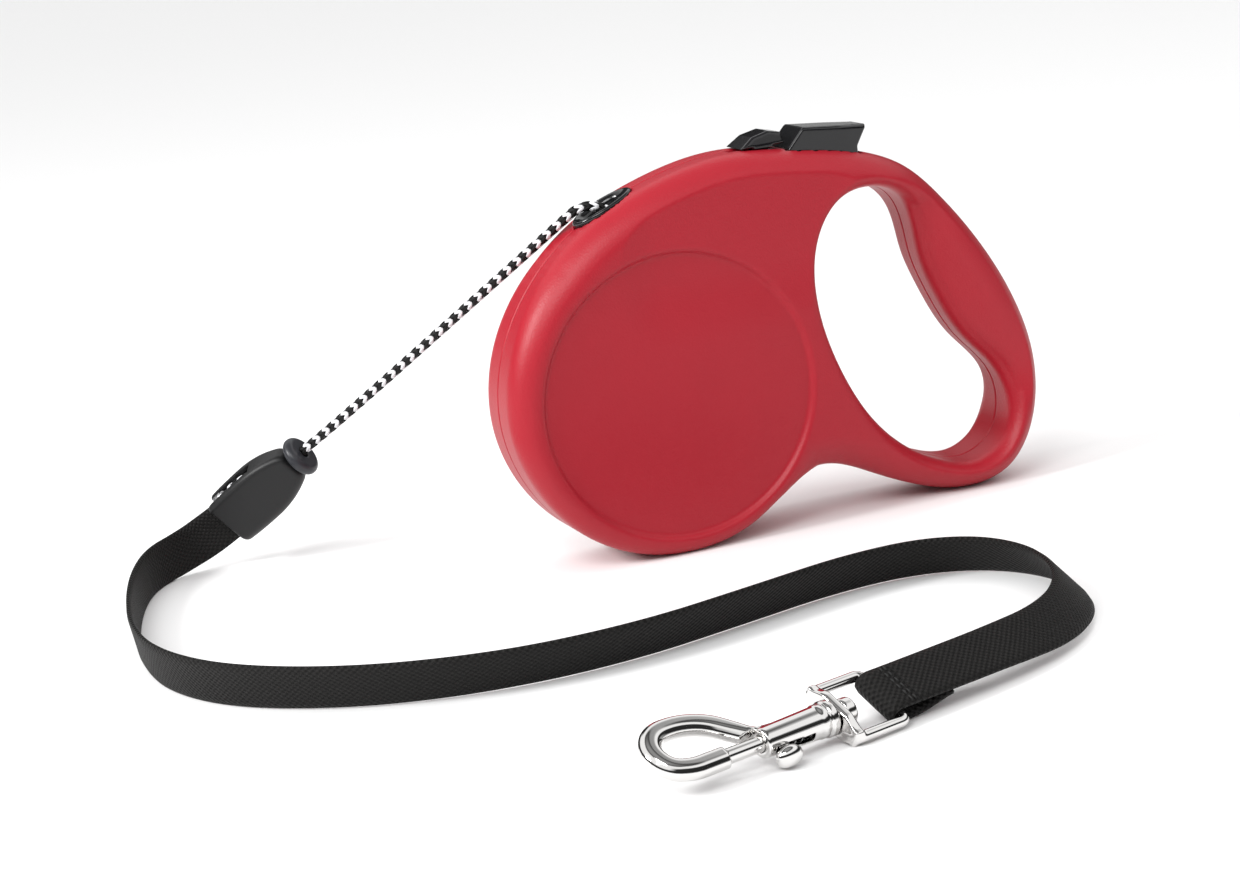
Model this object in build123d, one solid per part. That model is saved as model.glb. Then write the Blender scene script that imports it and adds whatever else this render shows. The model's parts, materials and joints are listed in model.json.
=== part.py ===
from build123d import *
import math
import os

# Retractable cord leash. +X runs from the cord outlet to the hand loop, +Z is up, +Y is the far
# side of the casing. The casing stands on the floor, z = 0, with its middle over the origin.

# ---- driving dimensions, mm -------------------------------------------------------------------
HALF_T = 15.5                   # half the casing's thickness; the shells meet at y = 0
WALL = 2.4                      # rim wall of the shells
FACE_WALL = 3.0                 # side wall of the shells
EDGE_R = 6.0                    # rounding of the casing's outer edge
LOOP_EDGE_R = 2.2               # rounding round the hand opening
SPOOL_X, SPOOL_Z = -33.7, 46.6  # spool axis
PANEL_R, PANEL_DEPTH = 42.2, 1.2
AXLE_R = 4.0
RUN = 0.05                      # radial clearance of running fits
FLANGE_R, DRUM_R, WOUND_R = 39.5, 14.0, 36.5
TEETH, TOOTH_DEPTH = 24, 3.5
CORD_D = 2.8
STRAP_W, STRAP_T = 13.5, 1.5
BRAKE_TRAVEL = 3.5
LOCK_TRAVEL = 3.0
INNER_Y = HALF_T - FACE_WALL    # inside face of each shell

# casing screws, (x, z, y of the seat under the head)
SCREWS = [(-72.1, 68.8, 12.6), (7.5, 81.5, 12.6), (9.0, 22.0, 12.6), (65.0, 62.0, 9.4),
          (-22.0, 102.8, 11.8)]
SCREW_R, SCREW_HEAD_R, SCREW_HEAD_T, BOSS_R = 1.25, 2.7, 1.9, 4.4

# side outline of the casing and of the hand opening, (x, z), clockwise seen from the near side
OUTER = [
    (-36, 0.1), (-58, 5.4), (-75, 20.5), (-83.7, 44), (-80.4, 66), (-69.6, 84), (-52, 98.8),
    (-31, 107.6), (-8, 111.7), (12, 110.1), (32, 106.4), (46, 100.4), (58, 89.0), (69.3, 73.4),
    (78.9, 54.6), (83.7, 33), (80.5, 16), (71, 3.4), (58, 0.1), (42, 3.4), (27, 10.2), (12, 15.9),
    (1, 14.2), (-14, 5.3),
]
OPENING = [
    (12.2, 68), (15, 85), (23, 94.4), (33.5, 96), (43.3, 91.6), (47.4, 82), (48.8, 73),
    (53.5, 59.5), (61.5, 45), (71, 33), (73, 22), (69, 12.8), (60, 8.3), (49, 10.3), (37, 17.2),
    (26, 28.5), (17, 46),
]

# cord outlet: a ring set across the seam, its axis square to the casing's edge
OUTLET = Vector(-45.4, 0, 101.9)
OUTLET_ALONG = Vector(0.92, 0, 0.39)
OUTLET_OUT = Vector(-0.39, 0, 0.92)
OUTLET_HALF_L, OUTLET_HALF_W = 9.9, 6.4

# free cord: off the winding, over the outlet's lip and straight to the connector
CORD_START = Vector(-12.0, -2.0, 78.0)
CORD_LIP = Vector(-50.1, -1.0, 105.0)
BEAD_AT = Vector(-129.0, 60.0, 34.0)
LIP_BEND_R = 5.0
LEAD = (BEAD_AT - CORD_LIP).normalized()      # the taut cord's direction, also the connector's axis

CONNECTOR_L = 30.0
CONNECTOR_GAP = 2.6                           # from the bead's middle to the connector
CONNECTOR_AT = BEAD_AT + LEAD * CONNECTOR_GAP
CONNECTOR_END = CONNECTOR_AT + LEAD * CONNECTOR_L
CORD_IN_CONNECTOR = 15.0
BEAD_R, BEAD_T = 6.4, 3.7
BEAD_TRAVEL = 15.0

# strap route on the floor, (x, y, z of its middle, lean of its top edge to the right in degrees)
STRAP_ROUTE = [
    (-146.8, 74.0, 18.1, 0), (-155.6, 80.2, 11.0, 0), (-166.5, 79.5, 7.0, 0),
    (-177.5, 68, 6.9, 0), (-186.5, 45, 6.9, 3), (-193.8, 15, 6.9, 6), (-197.5, -12, 6.9, 10),
    (-196.5, -37, 6.9, 14), (-187.5, -60, 6.8, 18), (-171, -79, 6.8, 22), (-148, -94, 6.7, 26),
    (-118, -102.5, 6.5, 30), (-85, -102, 6.4, 31), (-52, -93.5, 6.4, 31), (-22, -85, 6.4, 31),
    (3, -84, 6.3, 32), (20, -95, 6.2, 34), (26.5, -116, 6.1, 38), (20.5, -141, 5.9, 44),
    (3, -162, 6.5, 52), (-22, -174.4, 8.0, 60), (-50.0, -182.9, 8.0, 62),
]
STATION_STEP = 6.0                            # spacing of the strap's cross-sections

# swivel ring and snap hook: s runs from the strap to the hook's eye, n across, t through
S_DIR = (Vector(*STRAP_ROUTE[-1][:3]) - Vector(*STRAP_ROUTE[-2][:3])).normalized()
LEAN_END = math.radians(STRAP_ROUTE[-1][3])
M_DIR = Vector(0, 0, 1).cross(S_DIR) * -1
N_DIR = Vector(0, 0, 1) * math.cos(LEAN_END) + M_DIR * math.sin(LEAN_END)
T_DIR = S_DIR.cross(N_DIR)
BAR_R = 1.4
LOOP_IN_R = BAR_R + 0.15                      # inside of the strap's turn round the ring's bar
RING_HALF_W, RING_L, PLATE_T = 8.6, 15.0, 2.6
COLLAR_R, COLLAR_L, BARREL_R, BARREL_L = 4.3, 3.0, 4.0, 21.0
BOLT_R, BOLT_TRAVEL, BOLT_BACK, SPRING_BORE_R = 1.9, 8.0, 13.4, 1.66
EYE_R, EYE_AT, JAW_R, JAW_TIP = 6.3, 38.0, 2.3, 31.5
PIN_R = 2.0


def xz(x, z, y=0.0):
    return Vector(x, y, z)


def grown(points, by):
    """Outline points moved outwards by a distance, or inwards where it is negative."""
    moved = []
    for i, (x, z) in enumerate(points):
        before, after = points[i - 1], points[(i + 1) % len(points)]
        dx, dz = after[0] - before[0], after[1] - before[1]
        step = by / math.hypot(dx, dz)
        moved.append((x - dz * step, z + dx * step))
    return moved


def closed_outline(points, grow=0.0):
    """A smooth closed side outline, in three stretches, as a face in the y = 0 plane."""
    loop = Spline([xz(x, z) for x, z in grown(points, grow)], periodic=True).edge()
    cuts = [0.0, 0.3, 0.65, 1.0]
    return make_face([loop.trim(a, b) for a, b in zip(cuts, cuts[1:])])


def prism(face, y0, y1):
    """A face in the y = 0 plane made solid from y0 to y1."""
    return extrude(Pos(0, y0, 0) * face, amount=y1 - y0, dir=(0, 1, 0))


def polygon(points):
    return make_face(Polyline([xz(x, z) for x, z in points], close=True).edges())


def rod(x, z, radius, y0, y1):
    """A cylinder along Y."""
    return Pos(x, (y0 + y1) / 2, z) * Rot(90, 0, 0) * Cylinder(radius, abs(y1 - y0))


def along(origin, z_dir, x_dir, shape):
    """Places a shape made about its own Z axis."""
    return Plane(origin=origin, x_dir=x_dir, z_dir=z_dir).location * shape


# ---- casing -------------------------------------------------------------------------------------
def face_edges(body, y_face):
    """The edges that lie in a body's flat side at y_face."""
    return [e for e in body.edges() if all(abs((e @ t).Y - y_face) < 1e-3 for t in (0, 0.5, 1))]


def outer_half():
    """Half the casing's outer form, from y = 0 to the near face, without its opening."""
    body = prism(closed_outline(OUTER), -HALF_T, 0)
    body = fillet(face_edges(body, -HALF_T), EDGE_R)
    outer_rim = [e.center() for e in face_edges(body, -HALF_T)]
    body = body - prism(closed_outline(OPENING), -HALF_T - 1, 1)
    rim = [e for e in face_edges(body, -HALF_T)
           if min((e.center() - c).length for c in outer_rim) > 0.5]
    return fillet(rim, LOOP_EDGE_R)


def hollow():
    """The space inside one half, between the rim walls."""
    inside = prism(closed_outline(OUTER, -WALL), -INNER_Y, 0.5)
    return inside - prism(closed_outline(OPENING, WALL), -INNER_Y - 1, 1)


def outlet_block(extra=0.0, depth=6.0, proud=4.0):
    oval = Ellipse(OUTLET_HALF_L + extra, OUTLET_HALF_W + extra)
    return along(OUTLET - OUTLET_OUT * depth, OUTLET_OUT, OUTLET_ALONG, extrude(oval, depth + proud))


def button_slots():
    brake = Pos(22.2, 0, 105.5) * Box(24.4, 14.8, 12)
    lock = Pos(1.0, 0, 110) * Box(13.0, 5.0, 12)
    return brake + lock


def half_shell():
    shell = outer_half() - hollow()
    for x, z, _ in SCREWS:
        shell = shell + rod(x, z, BOSS_R, -INNER_Y - 0.5, 0)
    shell = shell + rod(SPOOL_X, SPOOL_Z, 6.5, -INNER_Y - 0.5, -11.7)
    shell = shell - rod(SPOOL_X, SPOOL_Z, AXLE_R, -INNER_Y, 0)
    shell = shell - rod(SPOOL_X, SPOOL_Z, PANEL_R, -HALF_T - 1, -HALF_T + PANEL_DEPTH)
    return shell - outlet_block() - button_slots()


def near_shell(half):
    shell = half + Pos(7.0, -7.6, 85.6) * Box(8.0, 9.8, 2.0)      # seat of the brake spring
    for x, z, _ in SCREWS:
        shell = shell - rod(x, z, SCREW_R, -11.0, 1)
    return shell


def far_shell(half):
    shell = mirror(half, about=Plane.XZ)
    for x, z, seat in SCREWS:
        shell = shell - rod(x, z, SCREW_R + 0.35, -1, HALF_T + 1)
        shell = shell - rod(x, z, SCREW_HEAD_R + 0.2, seat, HALF_T + 1)
    return shell


def housing_screws():
    """Self-tapping screws with a cross recess, driven from the far side."""
    screws = []
    for x, z, seat in SCREWS:
        top = seat + SCREW_HEAD_T
        screw = rod(x, z, SCREW_R, -10.5, seat) + rod(x, z, SCREW_HEAD_R, seat, top)
        for angle in (0, 90):
            screw = screw - Pos(x, top - 0.3, z) * Rot(0, angle, 0) * Box(3.2, 1.6, 0.7)
        screws.append(screw)
    return Compound(children=screws)


def cord_outlet():
    ring = outlet_block(0, 5.0, 1.0)
    top = ring.edges().sort_by(Axis(origin=OUTLET, direction=OUTLET_OUT))[-1:]
    ring = fillet(top, 0.8)
    bore = along(OUTLET - OUTLET_OUT * 6, OUTLET_OUT, OUTLET_ALONG, extrude(Ellipse(5.6, 3.3), 12))
    flare = along(OUTLET - OUTLET_OUT * 0.8, OUTLET_OUT, OUTLET_ALONG,
                  extrude(Ellipse(5.6, 3.3), 2.0, taper=-40))
    return ring - bore - flare


# ---- spool --------------------------------------------------------------------------------------
def washer(r_in, r_out, y0, y1):
    return rod(SPOOL_X, SPOOL_Z, r_out, y0, y1) - rod(SPOOL_X, SPOOL_Z, r_in, y0 - 1, y1 + 1)


def axle():
    return rod(SPOOL_X, SPOOL_Z, AXLE_R, -INNER_Y, INNER_Y)


def thrust_washers():
    return Compound(children=[washer(AXLE_R + RUN, 7.6, -11.65, -11.3),
                              washer(AXLE_R + RUN, 7.6, 11.3, 11.65)])


def ratchet_flange():
    """Near flange of the spool; the brake's tooth drops between its rim teeth."""
    flange = washer(AXLE_R + RUN, FLANGE_R, -11.2, -9.0)
    root = FLANGE_R - TOOTH_DEPTH
    for i in range(TEETH):
        a = math.radians(90 + i * 360 / TEETH)
        radial = Vector(math.cos(a), 0, math.sin(a))
        side = Vector(-math.sin(a), 0, math.cos(a))
        centre = xz(SPOOL_X, SPOOL_Z)
        corners = [centre + radial * root - side * 1.5, centre + radial * root + side * 1.5,
                   centre + radial * (FLANGE_R + 1) + side * 2.6,
                   centre + radial * (FLANGE_R + 1) - side * 2.6]
        gap = make_face(Polyline(corners, close=True).edges())
        flange = flange - prism(gap, -12, -8)
    return flange


def spool_drum():
    """Drum for the cord, far flange, and the cup that holds the spring."""
    drum = washer(DRUM_R - 2, DRUM_R, -9.0, 0.6) + washer(AXLE_R + RUN, 6.0, -9.0, 2.2)
    drum = drum + washer(AXLE_R + RUN, FLANGE_R, 0.6, 1.8)
    drum = drum + washer(WOUND_R - 1.5, WOUND_R, 1.8, 10.0)
    for i in range(6):
        rib = Pos(SPOOL_X, -4.2, SPOOL_Z) * Rot(0, 60 * i, 0) * Pos(9, 0, 0) * Box(7, 9.6, 1.2)
        drum = drum + rib
    return drum


def spring_cover():
    return washer(6.5, WOUND_R, 10.0, 11.2)


def power_spring():
    """Flat spiral spring, wound from near the axle out to the cup's wall."""
    turns, r_first, r_last, thick, steps = 9, 7.2, 34.0, 0.4, 8

    def at(i, extra):
        r = r_first + (r_last - r_first) * i / (turns * steps) + extra
        a = 2 * math.pi * i / steps
        return xz(SPOOL_X + r * math.cos(a), SPOOL_Z + r * math.sin(a))

    inner = Spline([at(i, 0) for i in range(turns * steps + 1)])
    outer = Spline([at(i, thick) for i in range(turns * steps + 1)])
    ends = [Line(inner @ 0, outer @ 0), Line(inner @ 1, outer @ 1)]
    strip = make_face([inner.edge(), outer.edge()] + [e.edge() for e in ends])
    return prism(strip, 2.2, 9.6)


def wound_cord():
    """The cord's stored length, as the outer shape of its winding."""
    ring = washer(DRUM_R, WOUND_R, -9.0, 0.6)
    return fillet([e for e in ring.edges() if e.length > 200], 1.2)


# ---- brake and lock -----------------------------------------------------------------------------
def brake_button():
    side = polygon([(10.9, 102.6), (10.9, 110.2), (15.4, 116.1), (36.6, 113.4), (35.8, 111.9),
                    (33.5, 108.1), (33.7, 102.6)])
    button = prism(side, -7, 7)
    crown = [e for e in button.edges() if abs(e.center().Y) > 6.9 and e.center().Z > 113]
    button = chamfer(crown, 1.2)
    return button + Pos(13.4, 0, 100.5) * Box(5.0, 10, 4.4)


def brake_slider():
    """Arm under the button; its tooth stands over the ratchet flange."""
    tip = SPOOL_Z + FLANGE_R + 1.5
    arm = polygon([(SPOOL_X - 1, tip), (SPOOL_X + 1, tip), (SPOOL_X + 2, tip + 3.6), (-20, 91.8),
                   (4, 94.6), (16, 96.3), (16, 98.3), (4, 98.3), (-12, 97), (SPOOL_X - 2, 95.5),
                   (SPOOL_X - 2, tip + 3.6)])
    return prism(arm, -11.7, -9.3) + Pos(10.0, -2.2, 97.3) * Box(12.0, 14.4, 2.0)


def brake_spring():
    """Compression spring between its seat and the slider."""
    wire, radius, z0, z1 = 0.5, 2.4, 86.6, 96.3
    coil = Helix(pitch=2.0, height=z1 - z0 - wire, radius=radius)
    section = Plane(origin=coil @ 0, z_dir=coil % 0) * Circle(wire / 2)
    return Pos(7.0, -6.0, z0 + wire / 2) * sweep(section, path=coil, is_frenet=True)


def lock_slider():
    side = polygon([(-3.4, 112.1), (0.9, 115.2), (6.0, 116.3), (9.9, 115.4), (10.3, 112.1)])
    cap = prism(side, -6, 6)
    crown = [e for e in cap.edges() if abs(e.center().Y) > 5.9 and e.center().Z > 113]
    cap = chamfer(crown, 1.0)
    return cap + Pos(3.6, 0, 109.55) * Box(6.4, 4.4, 5.3)


def lock_retainer():
    """Plate under the casing's roof that keeps the lock in its slot."""
    return Pos(3.6, 0, 106.2) * Box(8.0, 9.0, 1.4)


# ---- cord, bead and connector -------------------------------------------------------------------
def cord_line():
    end = CONNECTOR_AT + LEAD * CORD_IN_CONNECTOR
    return FilletPolyline([CORD_START, CORD_LIP, end], radius=[LIP_BEND_R])


def cord():
    line = cord_line()
    section = Plane(origin=line @ 0, z_dir=line % 0) * Circle(CORD_D / 2)
    return sweep(section, path=line)


def connector_axes():
    """Up across the strap's width, and through its thickness."""
    wide = (Vector(0, 0, 1) - LEAD * LEAD.Z).normalized()
    return wide, LEAD.cross(wide)


def cord_bead():
    wide, _ = connector_axes()
    disc = Cylinder(BEAD_R, BEAD_T)
    disc = fillet(disc.edges().filter_by(GeomType.CIRCLE), BEAD_T / 2 - 0.1)
    return along(BEAD_AT, LEAD, wide, disc - Cylinder(CORD_D / 2 + RUN, 10))


def section_at(s, width, thick, corner):
    """A rounded rectangle across the connector's axis."""
    wide, _ = connector_axes()
    return Plane(origin=CONNECTOR_AT + LEAD * s, x_dir=wide, z_dir=LEAD) * RectangleRounded(
        width, thick, corner)


def connector_body():
    """Tapered shroud: cord bore at the front, strap slot at the back, window in its upper side."""
    wide, _ = connector_axes()
    body = loft([section_at(0, 9.0, 7.0, 3.2), section_at(5, 13.5, 9.5, 4.0),
                 section_at(18, 17.6, 10.6, 4.2), section_at(CONNECTOR_L, 17.0, 9.6, 4.0)])
    place = Plane(origin=CONNECTOR_AT, x_dir=wide, z_dir=LEAD).location
    body = body - place * Pos(0, 0, 5) * Cylinder(CORD_D / 2 + 0.1, 14)
    body = body - place * Pos(0, 0, 20.5) * Box(14.6, 5.6, 19.2)
    return body - place * Pos(6.6, 0, 21.0) * Box(6.0, 3.4, 16.0)


def connector_pin():
    wide, _ = connector_axes()
    pin = Cylinder(1.1, 13.9)
    return along(CONNECTOR_AT + LEAD * 22.0, wide, LEAD, pin)


def cord_knot():
    """Stopper knot on the cord's end, inside the connector."""
    at = CONNECTOR_AT + LEAD * (CORD_IN_CONNECTOR + 1.6)
    wide, _ = connector_axes()
    return along(at, LEAD, wide, scale(Sphere(1.0), (2.3, 2.3, 1.6)))


# ---- strap --------------------------------------------------------------------------------------
def route_radii(points):
    """Arc radii of a route: 0.45 of the shorter run over the tangent of half the turn."""
    radii = []
    for a, b, c in zip(points, points[1:], points[2:]):
        turn = math.radians((b - a).get_angle(c - b))
        radii.append(0.45 * min((b - a).length, (c - b).length) / math.tan(turn / 2))
    return radii


def strap_line():
    points = [Vector(*p[:3]) for p in STRAP_ROUTE]
    return FilletPolyline(points, radius=route_radii(points))


def lean_at(t):
    """The strap's lean at a fraction of its length, from the route's values."""
    points = [Vector(*p[:3]) for p in STRAP_ROUTE]
    runs = [0.0]
    for a, b in zip(points, points[1:]):
        runs.append(runs[-1] + (b - a).length)
    here = t * runs[-1]
    for i in range(1, len(runs)):
        if here <= runs[i] or i == len(runs) - 1:
            share = (here - runs[i - 1]) / (runs[i] - runs[i - 1])
            return STRAP_ROUTE[i - 1][3] + share * (STRAP_ROUTE[i][3] - STRAP_ROUTE[i - 1][3])


def strap_section(line, t):
    heading = line % t
    right = heading.cross(Vector(0, 0, 1)).normalized()
    up = right.cross(heading).normalized()
    lean = math.radians(lean_at(t))
    wide = up * math.cos(lean) + right * math.sin(lean)
    return Plane(origin=line @ t, x_dir=wide, z_dir=heading) * Rectangle(STRAP_W, STRAP_T)


def strap():
    line = strap_line()
    count = int(line.length / STATION_STEP)
    return loft([strap_section(line, i / count) for i in range(count + 1)], ruled=True)


def ring_place(s, n=0.0, t=0.0):
    """A point of the ring and hook's own axes; s = 0 is the middle of the ring's strap bar."""
    return BAR_AT + S_DIR * s + N_DIR * n + T_DIR * t


STRAP_END = Vector(*STRAP_ROUTE[-1][:3])
LAYER_MID = LOOP_IN_R + STRAP_T / 2           # from the bar's axis to the middle of the strap
BAR_AT = STRAP_END + S_DIR * 6.0 + T_DIR * LAYER_MID


def strap_fold():
    """The strap's end: on past the route, round the ring's bar and back along itself."""
    frame = Plane(origin=BAR_AT, x_dir=S_DIR, z_dir=N_DIR)
    r_in, r_out = LOOP_IN_R, LOOP_IN_R + STRAP_T
    # in this plane +x is s and +y is n x s = -t, so the strap's own layer lies at +y
    turn = Circle(r_out) - Circle(r_in) - Pos(-10, 0) * Rectangle(20, 20)
    front = Pos(-3.0, LAYER_MID) * Rectangle(6.0, STRAP_T)
    back = make_face(Polyline([(0, -r_in), (0, -r_out), (-9, -r_out), (-17, r_in - 2 * STRAP_T + 1.4),
                               (-17, r_in - STRAP_T + 1.4), (-9, -r_in)], close=True).edges())
    return extrude(frame * (turn + front + back), amount=STRAP_W / 2, both=True)


# ---- swivel ring and snap hook ------------------------------------------------------------------
def place_hook(shape, s, n=0.0, t=0.0):
    """Places a shape made along its own Z so that it runs along s, with its X across, along n."""
    return along(ring_place(s, n, t), S_DIR, N_DIR, shape)


def swivel_ring():
    """Round bar bent to a loop, closed by a thick plate that the hook's rivet turns in."""
    half = RING_HALF_W
    corners = [ring_place(RING_L, 4.0), ring_place(RING_L, half), ring_place(0, half),
               ring_place(0, -half), ring_place(RING_L, -half), ring_place(RING_L, -4.0)]
    line = FilletPolyline(corners, radius=2.4)
    bar = sweep(Plane(origin=line @ 0, z_dir=line % 0) * Circle(BAR_R), path=line)
    plate = place_hook(extrude(RectangleRounded(11.0, 7.4, 3.0), PLATE_T), RING_L - PLATE_T / 2)
    return bar + plate - place_hook(Cylinder(PIN_R + RUN, 12), RING_L)


HOOK_S = RING_L + PLATE_T / 2 + 0.3           # where the hook's collar starts


def jaw_line():
    """Centre line of the hook's jaw, from the barrel round the eye to its tip."""
    start = ring_place(HOOK_S + BARREL_L - 3, 1.4)
    rise = ring_place(HOOK_S + EYE_AT, 2 * EYE_R)
    far = ring_place(HOOK_S + EYE_AT + EYE_R, EYE_R)
    low = ring_place(HOOK_S + EYE_AT, 0)
    climb = Spline([start, ring_place(HOOK_S + 26.5, 8.0), rise],
                   tangents=[S_DIR * 0.75 + N_DIR * 0.66, S_DIR])
    return Wire([climb.edge(), ThreePointArc(rise, far, low).edge(),
                 Line(low, ring_place(HOOK_S + JAW_TIP, 0)).edge()])


def hook_body():
    """Cast body: collar, barrel with the bolt's bore and slot, and the jaw."""
    cone_l = BARREL_L - COLLAR_L
    collar = place_hook(Cylinder(COLLAR_R, COLLAR_L), HOOK_S + COLLAR_L / 2)
    barrel = place_hook(Cone(BARREL_R, BARREL_R - 0.5, cone_l), HOOK_S + COLLAR_L + cone_l / 2)
    line = jaw_line()
    jaw = sweep(Plane(origin=line @ 0, z_dir=line % 0) * Circle(JAW_R), path=line)
    body = collar + barrel + jaw
    body = body - place_hook(Cylinder(BOLT_R + RUN, 18), HOOK_S + COLLAR_L + 9)
    body = body - place_hook(Cylinder(BOLT_R + RUN, JAW_TIP - BARREL_L), HOOK_S + (JAW_TIP + BARREL_L) / 2)
    slot = Box(8.0, 2.3, BOLT_TRAVEL + 3.2)
    return body - place_hook(slot, HOOK_S + 7.4 + (BOLT_TRAVEL + 3.2) / 2, -4.0)


def swivel_rivet():
    """Rivet that holds the hook to the ring and lets it turn."""
    head_end = RING_L - PLATE_T / 2 - 0.15
    pin = place_hook(Cylinder(PIN_R, HOOK_S - head_end), (HOOK_S + head_end) / 2)
    head = place_hook(Cylinder(3.4, 3.2), head_end - 1.6)
    return pin + head


def hook_bolt():
    """Spring bolt, hollow at the back where its spring sits, with its thumb knob."""
    rod_l = JAW_TIP - 0.1 - BOLT_BACK
    shaft = place_hook(Cylinder(BOLT_R, rod_l), HOOK_S + BOLT_BACK + rod_l / 2)
    shaft = shaft - place_hook(Cylinder(SPRING_BORE_R, 16.4), HOOK_S + BOLT_BACK)
    stem = place_hook(Box(3.7, 2.0, 2.4), HOOK_S + 17.2, -3.6)
    knob = along(ring_place(HOOK_S + 17.2, -6.1), N_DIR, S_DIR, scale(Sphere(1.0), (3.2, 2.4, 1.9)))
    return shaft + stem + knob


def bolt_spring():
    wire, radius, length = 0.3, 1.4, BOLT_BACK - COLLAR_L - 0.2
    coil = Helix(pitch=2.2, height=length - wire, radius=radius)
    section = Plane(origin=coil @ 0, z_dir=coil % 0) * Circle(wire / 2)
    return place_hook(sweep(section, path=coil, is_frenet=True), HOOK_S + COLLAR_L + 0.1 + wire / 2)


def strap_stitching():
    """Two cross rows of thread that hold the fold, proud of the strap's upper face."""
    rows = []
    for s in (-4.6, -3.4):
        place = along(ring_place(s, 0, -(LAYER_MID + STRAP_T / 2 + 0.15)), N_DIR, S_DIR,
                      Box(0.6, 0.3, STRAP_W - 2))
        rows.append(place)
    return Compound(children=rows)


def build():
    half = half_shell()
    return {
        "near_shell": near_shell(half),
        "far_shell": far_shell(half),
        "housing_screws": housing_screws(),
        "cord_outlet": cord_outlet(),
        "spool_axle": axle(),
        "thrust_washers": thrust_washers(),
        "ratchet_flange": ratchet_flange(),
        "spool_drum": spool_drum(),
        "spring_cover": spring_cover(),
        "power_spring": power_spring(),
        "wound_cord": wound_cord(),
        "brake_button": brake_button(),
        "brake_slider": brake_slider(),
        "brake_spring": brake_spring(),
        "lock_slider": lock_slider(),
        "lock_retainer": lock_retainer(),
        "cord": cord(),
        "cord_bead": cord_bead(),
        "connector_body": connector_body(),
        "connector_pin": connector_pin(),
        "cord_knot": cord_knot(),
        "strap": strap(),
        "strap_fold": strap_fold(),
        "strap_stitching": strap_stitching(),
        "swivel_ring": swivel_ring(),
        "hook_body": hook_body(),
        "swivel_rivet": swivel_rivet(),
        "hook_bolt": hook_bolt(),
        "bolt_spring": bolt_spring(),
    }


def main():
    os.makedirs("parts", exist_ok=True)
    for name, shape in build().items():
        export_step(shape, f"parts/{name}.step")
    line, tape = cord_line(), strap_line()
    print("cord", round(line.length, 1), "mm, bend", LIP_BEND_R)
    print("strap", round(tape.length, 1), "mm, radii",
          [round(r, 1) for r in route_radii([Vector(*p[:3]) for p in STRAP_ROUTE])])


main()
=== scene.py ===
import json
import math

import bpy
import numpy as np
from mathutils import Matrix, Vector

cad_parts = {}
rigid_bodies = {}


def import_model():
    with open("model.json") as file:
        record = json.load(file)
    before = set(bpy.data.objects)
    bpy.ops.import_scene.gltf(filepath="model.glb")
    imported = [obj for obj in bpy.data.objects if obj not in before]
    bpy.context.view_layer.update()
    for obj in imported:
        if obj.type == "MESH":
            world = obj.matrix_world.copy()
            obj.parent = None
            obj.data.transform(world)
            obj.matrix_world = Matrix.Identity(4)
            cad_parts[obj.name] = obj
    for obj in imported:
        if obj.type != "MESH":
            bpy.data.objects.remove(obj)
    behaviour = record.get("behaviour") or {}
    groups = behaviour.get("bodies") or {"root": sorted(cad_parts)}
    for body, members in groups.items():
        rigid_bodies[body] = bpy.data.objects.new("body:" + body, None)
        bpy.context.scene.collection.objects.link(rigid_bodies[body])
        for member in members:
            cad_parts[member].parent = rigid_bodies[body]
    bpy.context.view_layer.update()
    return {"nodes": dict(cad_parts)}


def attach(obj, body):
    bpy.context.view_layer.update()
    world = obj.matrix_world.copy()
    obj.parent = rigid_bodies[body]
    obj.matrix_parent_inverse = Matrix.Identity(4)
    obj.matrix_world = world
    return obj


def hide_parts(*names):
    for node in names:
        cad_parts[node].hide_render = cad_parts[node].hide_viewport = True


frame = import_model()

MM = 0.001
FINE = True
SETTLE_STEPS = 3              # moves that bring a mesh onto its field
CAMERA_BACK = Vector((-0.32017961, -0.91964991, 0.22744022))

# ---- sizes in mm; the outlines, screw places and strap route are the CAD's ----------------------
HALF_T = 15.5
SPOOL_X, SPOOL_Z, PANEL_R, PANEL_DEPTH = -33.7, 46.6, 42.2, 1.5
OUTER = [
    (-36, 0.1), (-58, 5.4), (-75, 20.5), (-83.7, 44), (-80.4, 66), (-69.6, 84), (-52, 98.8),
    (-31, 107.6), (-8, 111.7), (12, 110.1), (32, 106.4), (46, 100.4), (58, 89.0), (69.3, 73.4),
    (78.9, 54.6), (83.7, 33), (80.5, 16), (71, 3.4), (58, 0.1), (42, 3.4), (27, 10.2), (12, 15.9),
    (1, 14.2), (-14, 5.3),
]
OPENING = [
    (12.2, 68), (15, 85), (23, 94.4), (33.5, 96), (43.3, 91.6), (47.4, 82), (48.8, 73),
    (53.5, 59.5), (61.5, 45), (71, 33), (73, 22), (69, 12.8), (60, 8.3), (49, 10.3), (37, 17.2),
    (26, 28.5), (17, 46),
]
SCREWS = [(-72.1, 68.8, 12.6), (7.5, 81.5, 12.6), (9.0, 22.0, 12.6), (65.0, 62.0, 9.4),
          (-22.0, 102.8, 11.8)]           # x, z, y of the seat under the head
WALL, BOSS_R, HUB_R, HUB_END = 2.9, 4.3, 6.4, 11.75
SCREW_HOLE_R, SCREW_HEAD_R = 1.6, 2.9
SEAM_DEPTH, SEAM_HALF_W = 0.35, 0.28
OUTLET = np.array([-45.4, 0, 101.9])
OUTLET_ALONG = np.array([0.92, 0, 0.39]) / math.hypot(0.92, 0.39)
OUTLET_OUT = np.array([-0.39, 0, 0.92]) / math.hypot(0.92, 0.39)

CORD_START = Vector((-19.3, -1.8, 83.2))
CORD_LIP = Vector((-50.1, -1.0, 105.0))
BEAD_AT = Vector((-129.0, 60.0, 34.0))
LEAD = (BEAD_AT - CORD_LIP).normalized()
CONNECTOR_AT = BEAD_AT + LEAD * 2.6
CONNECTOR_L = 30.0

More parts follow.
